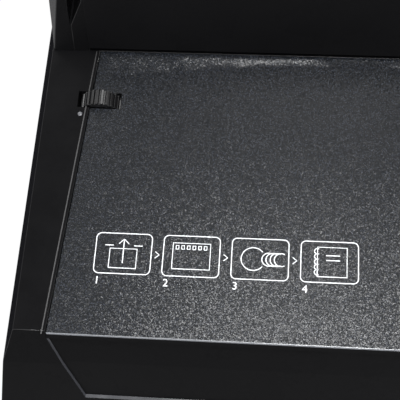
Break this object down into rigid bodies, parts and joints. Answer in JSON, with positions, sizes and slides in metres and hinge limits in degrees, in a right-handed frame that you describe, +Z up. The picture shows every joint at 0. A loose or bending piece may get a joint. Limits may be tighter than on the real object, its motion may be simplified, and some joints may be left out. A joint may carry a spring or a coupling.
{
  "type": "comb binding machine",
  "caption": "Desk-top manual comb binder: paper bed with margin wheel, punch head, bail handle, comb opener rake and chip drawer.",
  "frame": {"origin": "middle of the footprint on the desk surface", "axes": "+X to the operator's right, -Y towards the operator, +Z up"},
  "size_m": [0.42, 0.358, 0.315],
  "materials": {
    "shell_plastic": "moulded black ABS, semi gloss",
    "bed_plastic": "spark-eroded grain, black",
    "soft_black": "matt black rubber",
    "frame_steel": "cold-rolled steel",
    "arm_paint": "black enamel",
    "bright_steel": "nickel plated",
    "wheel_plastic": "moulded black acetal"
  },
  "bodies": {
    "machine": {"base_shell": "shell_plastic", "bottom_plate": "frame_steel", "rubber_feet": "soft_black", "paper_bed": "bed_plastic", "head_cover": "shell_plastic", "head_cap_left": "shell_plastic", "head_cap_right": "shell_plastic", "side_plate_left": "frame_steel", "side_plate_right": "frame_steel", "die_block": "frame_steel", "pin_guide": "frame_steel", "return_springs": "bright_steel", "comb_plate": "bright_steel", "wheel_axle": "bright_steel", "wheel_bracket": "wheel_plastic", "plate_screws": "bright_steel", "comb_screws": "bright_steel"},
    "handle": {"handle_shaft": "bright_steel", "punch_cam_left": "frame_steel", "punch_cam_right": "frame_steel", "comb_gear_left": "frame_steel", "comb_gear_right": "frame_steel", "handle_arm_left": "arm_paint", "handle_arm_right": "arm_paint", "handle_bar": "arm_paint", "handle_grip": "soft_black", "pivot_caps": "shell_plastic"},
    "punch": {"punch_bar": "frame_steel", "punch_pins": "bright_steel"},
    "rake": {"comb_rake": "bright_steel"},
    "wheel": {"guide_wheel": "wheel_plastic"},
    "stop": {"paper_stop": "wheel_plastic"},
    "drawer": {"chip_drawer": "shell_plastic"}
  },
  "joints": [
    {"name": "handle_swing", "type": "hinge", "parent": "machine", "child": "handle", "pos_m": [0, 0.103, 0.104], "axis": [1, 0, 0], "range_deg": [0, 85]},
    {"name": "punch_slide", "type": "slide", "parent": "machine", "child": "punch", "axis": [0, 0, -1], "range_m": [0, 0.0121], "stiffness_N_per_m": 3000, "springref_m": -0.01, "deforming": ["return_springs"]},
    {"name": "rake_slide", "type": "slide", "parent": "machine", "child": "rake", "axis": [0, -1, 0], "range_m": [0, 0.015]},
    {"name": "wheel_spin", "type": "hinge", "parent": "machine", "child": "wheel", "pos_m": [-0.162, 0.003, 0.045], "axis": [0, 1, 0], "range_deg": [-63, 63]},
    {"name": "stop_slide", "type": "slide", "parent": "machine", "child": "stop", "axis": [1, 0, 0], "range_m": [-0.004, 0.004]},
    {"name": "drawer_slide", "type": "slide", "parent": "machine", "child": "drawer", "axis": [0, 1, 0], "range_m": [0, 0.11]}
  ],
  "couplings": [
    {"joint": "punch_slide", "follows": "handle_swing", "m_per_rad": 0.0080888},
    {"joint": "rake_slide", "follows": "handle_swing", "m_per_rad": 0.01},
    {"joint": "stop_slide", "follows": "wheel_spin", "m_per_rad": -0.0036}
  ]
}
